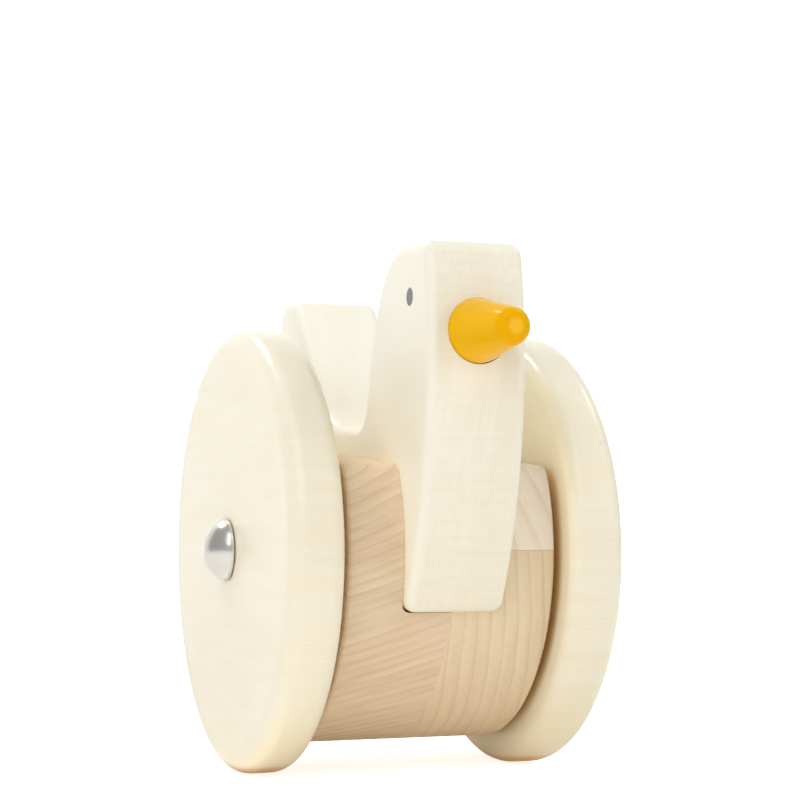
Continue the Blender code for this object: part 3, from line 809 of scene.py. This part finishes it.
class HENTOY_OT_barrel(bpy.types.Operator):
    """Shape the three glued blocks of the barrel"""

    bl_idname = "hen_toy.barrel"
    bl_label = "Barrel"

    def end_outline(self, sizes, end):
        """Flat face with the barrel's outline, a circle cut flat on top, at one end."""
        shape = bmesh.new()
        bmesh.ops.create_circle(
            shape,
            cap_ends=True,
            segments=BARREL_STEPS,
            radius=sizes.barrel_radius,
            matrix=Matrix.Translation((end, 0.0, 0.0)) @ Matrix.Rotation(math.pi / 2, 4, "Y"),
        )
        flat = sizes.barrel_flat
        cut_away(shape, flat, UP, fill=False)
        corners = [vert for vert in shape.verts if same(vert.co.z, flat)]
        beside = [
            vert for vert in shape.verts if WELD_DISTANCE < flat - vert.co.z < sizes.barrel_flat_corner
        ]
        bmesh.ops.dissolve_verts(shape, verts=beside)
        for corner in corners:
            round_corner(shape, corner, sizes.barrel_flat_corner, BARREL_CORNER_STEPS)
        return shape

    def floor_slot(self, shape, sizes, wall, floor):
        """Let a block reach the middle under the slot, with a fillet in the slot's corner."""
        bmesh.ops.bisect_plane(shape, geom=everything(shape), plane_co=(0.0, 0.0, floor), plane_no=UP)
        under_slot = []
        for face in shape.faces:
            middle = face.calc_center_median()
            if same(middle.x, wall) and middle.z < floor:
                under_slot.append(face)
        extrude_faces(shape, under_slot, Vector((-wall, 0.0, 0.0)))
        corner = edges_where(shape, lambda spot: same(spot.x, wall) and same(spot.z, floor))
        bevel(shape, corner, sizes.slot_fillet, BARREL_EDGE_STEPS)

    def block(self, sizes, side, low=None, high=None, floor=None):
        """One block on a side of the barrel between two heights, with its share of the slot."""
        end = side * BARREL_END
        wall = side * sizes.slot_half
        shape = self.end_outline(sizes, end)
        if floor is not None:
            beside_slot = [vert for vert in shape.verts if 0.0 < vert.co.z - floor < sizes.slot_fillet]
            bmesh.ops.dissolve_verts(shape, verts=beside_slot)
        extrude_faces(shape, shape.faces[:], Vector((wall - end, 0.0, 0.0)))
        rim = edges_where(shape, lambda spot: same(spot.x, end))
        bevel(shape, rim, sizes.barrel_edge, BARREL_EDGE_STEPS)
        if high is not None:
            cut_away(shape, high, UP)
        if low is not None:
            cut_away(shape, low, -UP)
        if floor is not None:
            self.floor_slot(shape, sizes, wall, floor)
        return shape

    def execute(self, context):
        settings = context.scene.hen_toy
        sizes, colours = settings.sizes, settings.colours
        half_line = sizes.glue_line / 2
        floor = -sizes.slot_depth
        blocks = {
            "left_block": {"side": -1, "floor": floor - sizes.left_slot_extra},
            "right_upper_block": {"side": 1, "low": sizes.block_seam + half_line},
            "right_lower_block": {"side": 1, "high": sizes.block_seam - half_line, "floor": floor},
        }
        for node, wood, across, along, ring_scale, line_depth, band_depth in (
            ("left_block", "left_maple", (-0.38, -0.41, 1.0), ALONG_AXLE, 165.0, 0.33, 0.2),
            ("right_upper_block", "upper_maple", (1.0, 0.1, 0.35), UP, 70.0, 0.35, 0.12),
            ("right_lower_block", "lower_maple", (1.0, -0.1, 0.08), UP, 112.0, 0.5, 0.15),
        ):
            tones = (getattr(colours, wood), getattr(colours, wood + "_shade"))
            turn = grain_turn(Vector(across), along)
            finish = node.replace("block", "maple")
            material = maple(finish, tones, turn, ring_scale, line_depth, band_depth)
            name = node + "_wood"
            mesh = mesh_from(name, self.block(sizes, **blocks[node]), body_matrix(sizes))
            new_piece(name, mesh, material, "body", node)
        return {"FINISHED"}


class HENTOY_OT_hen(bpy.types.Operator):
    """Saw the hen from its board, with a seat for its beak"""

    bl_idname = "hen_toy.hen"
    bl_label = "Hen"

    def bowed_edge(self, shape, sizes, reach, facing, top):
        """Arc of the breast or the rump, straight beside its corners; returns its foot and its top."""
        bow = sizes.hen_bow
        centre = Vector((0.0, facing * (reach - bow), sizes.hen_waist))
        foot = -sizes.hen_foot
        points = []
        rises = []
        for height in (foot, foot + sizes.hen_straight, top - sizes.hen_straight, top):
            rise = math.asin((height - sizes.hen_waist) / bow)
            rises.append(rise)
            points.append(centre + bow * Vector((0.0, facing * math.cos(rise), math.sin(rise))))
        arc_start = shape.verts.new(points[1])
        arc = bmesh.ops.spin(
            shape,
            geom=[arc_start],
            cent=centre,
            axis=ALONG_AXLE,
            angle=facing * (rises[2] - rises[1]),
            steps=HEN_BOW_STEPS,
        )
        foot_corner = shape.verts.new(points[0])
        top_corner = shape.verts.new(points[3])
        shape.edges.new((foot_corner, arc_start))
        shape.edges.new((arc["geom_last"][0], top_corner))
        return foot_corner, top_corner

    def outline(self, sizes):
        """Flat face with the hen's side view in the plane X = 0."""
        shape = bmesh.new()
        front_foot, head = self.bowed_edge(shape, sizes, sizes.breast_reach, -1, sizes.head_height)
        back_foot, tail = self.bowed_edge(shape, sizes, sizes.rump_reach, 1, sizes.tail_height)
        tail_rise = sizes.tail_height - sizes.saddle_height
        tail_front = sizes.saddle_back + tail_rise / math.tan(sizes.tail_slope)
        over_back = [(head, sizes.head_corner)]
        for forward, height, rounding in (
            (sizes.crown_forward, sizes.crown_height, sizes.crown_radius),
            (sizes.nape_forward, sizes.nape_height, sizes.nape_radius),
            (sizes.saddle_front, sizes.saddle_height, sizes.saddle_front_radius),
            (-sizes.saddle_back, sizes.saddle_height, sizes.saddle_back_radius),
            (-tail_front, sizes.tail_height, sizes.tail_front_corner),
        ):
            over_back.append((shape.verts.new((0.0, -forward, height)), rounding))
        over_back.append((tail, sizes.tail_back_corner))
        for (first, _), (second, _) in zip(over_back, over_back[1:]):
            shape.edges.new((first, second))
        shape.edges.new((back_foot, front_foot))
        bmesh.ops.contextual_create(shape, geom=shape.edges[:])
        feet = [(back_foot, sizes.hen_foot_corner), (front_foot, sizes.hen_foot_corner)]
        for corner, rounding in over_back + feet:
            round_corner(shape, corner, rounding, HEN_CORNER_STEPS)
        return shape

    def board(self, sizes):
        """Board sawn to the outline, its long edges rounded."""
        thickness = HEN_HIGH.x - HEN_LOW.x
        shape = self.outline(sizes)
        bmesh.ops.translate(shape, verts=shape.verts, vec=(-thickness / 2, 0.0, 0.0))
        extrude_faces(shape, shape.faces[:], Vector((thickness, 0.0, 0.0)))
        long_edges = []
        for edge in shape.edges:
            first, second = edge.verts
            if same(first.co.x, second.co.x):
                long_edges.append(edge)
        bevel(shape, long_edges, sizes.hen_edge, HEN_EDGE_STEPS)
        return shape

    def execute(self, context):
        settings = context.scene.hen_toy
        sizes = settings.sizes
        board = mesh_from("hen_blank", self.board(sizes), body_matrix(sizes))
        seat_radius = sizes.beak_base + sizes.beak_gap
        seat = new_cone(BEAK_SEAT_STEPS, seat_radius, seat_radius, -sizes.beak_gap, sizes.beak_reach)
        mesh = drilled(board, mesh_from("beak_seat", seat, beak_matrix(sizes)))
        mesh.name = "hen_board"
        new_piece("hen_board", mesh, hen_material(settings), "body", "hen")
        return {"FINISHED"}


class HENTOY_OT_beak(bpy.types.Operator):
    """Turn the beak"""

    bl_idname = "hen_toy.beak"
    bl_label = "Beak"

    def execute(self, context):
        settings = context.scene.hen_toy
        sizes = settings.sizes
        depth = sizes.beak_reach + sizes.beak_seat
        shape = new_cone(BEAK_STEPS, sizes.beak_base, sizes.beak_end, 0.0, depth)
        end_rim = edges_where(shape, lambda spot: same(spot.z, depth))
        bevel(shape, end_rim, sizes.beak_rounding, BEAK_END_STEPS)
        mesh = mesh_from("beak_peg", shape, beak_matrix(sizes))
        new_piece("beak_peg", mesh, beak_material(settings), "body", "beak")
        return {"FINISHED"}


class HENTOY_OT_axle_caps(bpy.types.Operator):
    """Press the two domed axle caps"""

    bl_idname = "hen_toy.axle_caps"
    bl_label = "Axle Caps"

    def dome(self, sizes):
        """Lens-like dome along Z with its rim at Z = 0, and a straight skirt below it."""
        radius = (LEFT_CAP_HIGH.z - LEFT_CAP_LOW.z) / 2
        height = LEFT_CAP_HIGH.x - LEFT_CAP_LOW.x
        cut = radius * sizes.cap_crown
        widen = 1.0 / math.sqrt(1.0 - sizes.cap_crown**2)
        heighten = (height - sizes.cap_skirt - sizes.cap_drop) / (radius - cut)
        shape = bmesh.new()
        bmesh.ops.create_uvsphere(
            shape, u_segments=CAP_ROUND_STEPS, v_segments=CAP_RISE_STEPS, radius=radius
        )
        cut_away(shape, cut, -UP, fill=False)
        bmesh.ops.translate(shape, verts=shape.verts, vec=(0.0, 0.0, -cut))
        bmesh.ops.scale(shape, vec=(widen, widen, heighten), verts=shape.verts)
        rim = [edge for edge in shape.edges if edge.is_boundary]
        extrude_edges(shape, rim, -UP * sizes.cap_skirt)
        bmesh.ops.recalc_face_normals(shape, faces=shape.faces)
        bmesh.ops.solidify(shape, geom=shape.faces[:], thickness=sizes.cap_wall)
        return shape

    def execute(self, context):
        settings = context.scene.hen_toy
        sizes = settings.sizes
        nickel = metal("cap_nickel", settings.colours.nickel, roughness=0.25, unevenness=0.06)
        rim = sizes.cap_skirt - LEFT_CAP_HIGH.x
        for word, side in SIDES:
            name = word + "_cap_dome"
            turn = Matrix.Rotation(side * math.pi / 2, 4, "Y")
            place = Matrix.Translation(AXLE + side * rim * ALONG_AXLE) @ turn
            mesh = mesh_from(name, self.dome(sizes), place)
            new_piece(name, mesh, nickel, "body", word + "_axle_cap")
        return {"FINISHED"}


class HENTOY_OT_fittings(bpy.types.Operator):
    """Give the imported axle, spacers, grips and weight their finishes"""

    bl_idname = "hen_toy.fittings"
    bl_label = "Axle Fittings"

    def execute(self, context):
        colours = context.scene.hen_toy.colours
        steel = metal("turned_steel", colours.steel, roughness=0.30, unevenness=0.15)
        spring = metal("spring_steel", colours.spring_steel, roughness=0.38, unevenness=0.12)
        white = nylon("spacer_nylon", colours.nylon)
        finishes = {
            "axle": steel,
            "counterweight": steel,
            "left_cap_grip": spring,
            "right_cap_grip": spring,
            "left_spacer": white,
            "right_spacer": white,
        }
        for node, material in finishes.items():
            mesh = frame["nodes"][node].data
            mesh.materials.clear()
            mesh.materials.append(material)
        return {"FINISHED"}


class HENTOY_OT_stage(bpy.types.Operator):
    """Set up the camera, the soft boxes and the white sweep"""

    bl_idname = "hen_toy.stage"
    bl_label = "Stage"

    def add_camera(self, context, stage):
        """Camera in front on the left, a little above the axle."""
        camera = new_object("camera", bpy.data.cameras.new("camera"))
        camera.data.lens = stage.camera_lens
        camera.location = AXLE + Vector((-stage.camera_left, -stage.camera_front, stage.camera_above))
        camera.rotation_euler = (math.pi / 2 + stage.camera_pitch, 0.0, -stage.camera_turn)
        context.scene.camera = camera

    def add_soft_box(self, name, direction, distance, size, watts, roll=0.0):
        """Rectangular lamp that faces the axle from a direction."""
        lamp = bpy.data.lights.new(name, "AREA")
        lamp.energy = watts
        lamp.shape = "RECTANGLE"
        lamp.size, lamp.size_y = size
        soft_box = new_object(name, lamp)
        outwards = Vector(direction).normalized()
        soft_box.location = AXLE + outwards * distance
        turn = outwards.to_track_quat("Z", "Y").to_matrix() @ Matrix.Rotation(roll, 3, "Z")
        soft_box.rotation_euler = turn.to_euler()
        soft_box.visible_camera = False
        return soft_box

    def sweep_material(self, settings):
        """White paper that glows for the camera and in reflections, with a little light from below."""
        stage = settings.stage
        material, tree, _ = new_material("white_sweep")
        tree.nodes.clear()
        ray = add_node(tree, "ShaderNodeLightPath").outputs
        place = split_axes(tree, add_node(tree, "ShaderNodeTexCoord").outputs["Object"])
        wall = product(tree, fade(tree, place["Y"], start=0.2, end=0.7), stage.wall_sheen)
        sheen = calculate(tree, "ADD", wall, stage.floor_sheen)
        glow = 0.0
        for kind, strength in (
            ("Is Camera Ray", stage.floor_glow),
            ("Is Glossy Ray", sheen),
            ("Is Diffuse Ray", stage.floor_light),
        ):
            glow = calculate(tree, "ADD", glow, product(tree, ray[kind], strength))
        tint = mix_colours(tree, ray["Is Diffuse Ray"], WHITE, settings.colours.floor_light)
        emission = add_node(tree, "ShaderNodeEmission", {"Color": tint, "Strength": glow})
        paper = add_node(tree, "ShaderNodeBsdfDiffuse", {"Color": (*settings.colours.sweep, 1.0)})
        both = add_node(tree, "ShaderNodeAddShader", {0: paper.outputs[0], 1: emission.outputs[0]})
        add_node(tree, "ShaderNodeOutputMaterial", {"Surface": both.outputs[0]})
        return material

    def add_sweep(self, settings):
        """Floor that curves up into a back wall."""
        stage = settings.stage
        half_width, far = stage.sweep_half_width, stage.sweep_far
        shape = bmesh.new()
        corners = [
            shape.verts.new((-half_width, along, height))
            for along, height in ((-stage.sweep_near, 0.0), (far, 0.0), (far, stage.sweep_height))
        ]
        line = [shape.edges.new(pair) for pair in zip(corners, corners[1:])]
        extrude_edges(shape, line, 2 * half_width * ALONG_AXLE)
        fold = [edge for edge in shape.edges if edge.is_manifold]
        bevel(shape, fold, stage.sweep_fold, SWEEP_FOLD_STEPS)
        mesh = mesh_from("sweep", shape, Matrix.Identity(4))
        mesh.materials.append(self.sweep_material(settings))
        new_object("sweep", mesh)

    def light_room(self, context, colours):
        """Dim room that shows brighter in reflections and white to the camera."""
        world = bpy.data.worlds.new("room")
        world.use_nodes = True
        tree = world.node_tree
        tree.nodes.clear()
        ray = add_node(tree, "ShaderNodeLightPath").outputs
        tint = mix_colours(tree, ray["Is Glossy Ray"], colours.room, colours.room_sheen)
        tint = mix_colours(tree, ray["Is Camera Ray"], tint, WHITE)
        light = add_node(tree, "ShaderNodeBackground", {"Color": tint})
        add_node(tree, "ShaderNodeOutputWorld", {"Surface": light.outputs[0]})
        context.scene.world = world

    def execute(self, context):
        settings = context.scene.hen_toy
        stage = settings.stage
        context.scene.view_settings.view_transform = "Standard"
        self.add_camera(context, stage)
        for name, direction, distance, size, watts, roll in (
            ("back_soft_box", (-0.27, 0.55, 0.79), 0.8, (0.27, 0.10), stage.back_lamp, stage.back_roll),
            ("right_soft_box", (0.64, 0.04, 0.77), 0.8, (0.20, 0.20), stage.right_lamp, 0.0),
            ("front_soft_box", (-0.37, -0.66, 0.66), 0.8, (0.42, 0.70), stage.front_lamp, 0.0),
        ):
            self.add_soft_box(name, direction, distance, size, watts, roll)
        for name, direction, distance, size, watts in (
            ("high_fill", (-0.3, 0.0, 0.95), 0.8, (0.5, 0.5), stage.high_fill),
            ("left_side_fill", (-0.80, -0.45, 0.40), 1.0, (0.6, 0.4), stage.left_side_fill),
            ("right_side_fill", (0.7, -0.2, 0.7), 0.8, (0.4, 0.4), stage.right_side_fill),
            ("left_fill", (-0.74, -0.64, 0.20), 1.0, (0.6, 0.6), stage.left_fill),
            ("right_fill", (0.75, -0.6, 0.3), 1.0, (0.6, 0.6), stage.right_fill),
        ):
            fill = self.add_soft_box(name, direction, distance, size, watts)
            fill.visible_glossy = False
        self.add_sweep(settings)
        self.light_room(context, settings.colours)
        return {"FINISHED"}


class HENTOY_PT_panel(bpy.types.Panel):
    """Buttons and settings of the toy in the 3D view's sidebar"""

    bl_idname = "HENTOY_PT_panel"
    bl_label = "Wheeled Hen Toy"
    bl_space_type = "VIEW_3D"
    bl_region_type = "UI"
    bl_category = "Hen Toy"

    def draw(self, context):
        layout = self.layout
        for operator in OPERATORS:
            layout.operator(operator.bl_idname)
        settings = context.scene.hen_toy
        for group in (settings.sizes, settings.colours, settings.stage):
            box = layout.box()
            for name in group.bl_rna.properties.keys():
                if name not in ("rna_type", "name"):
                    box.prop(group, name)


OPERATORS = (
    HENTOY_OT_stage,
    HENTOY_OT_wheels,
    HENTOY_OT_barrel,
    HENTOY_OT_hen,
    HENTOY_OT_beak,
    HENTOY_OT_axle_caps,
    HENTOY_OT_fittings,
)
CLASSES = (HenToySizes, HenToyColours, HenToyStage, HenToySettings, *OPERATORS, HENTOY_PT_panel)


def register():
    """Register the classes and the scene's settings."""
    for made in CLASSES:
        bpy.utils.register_class(made)
    bpy.types.Scene.hen_toy = PointerProperty(type=HenToySettings)


def unregister():
    """Take the settings and the classes away again."""
    del bpy.types.Scene.hen_toy
    for made in reversed(CLASSES):
        bpy.utils.unregister_class(made)


def main():
    """Build the stage and all pieces."""
    register()
    bpy.ops.hen_toy.stage()
    bpy.ops.hen_toy.wheels()
    bpy.ops.hen_toy.barrel()
    bpy.ops.hen_toy.hen()
    bpy.ops.hen_toy.beak()
    bpy.ops.hen_toy.axle_caps()
    bpy.ops.hen_toy.fittings()


if __name__ == "__main__":
    main()
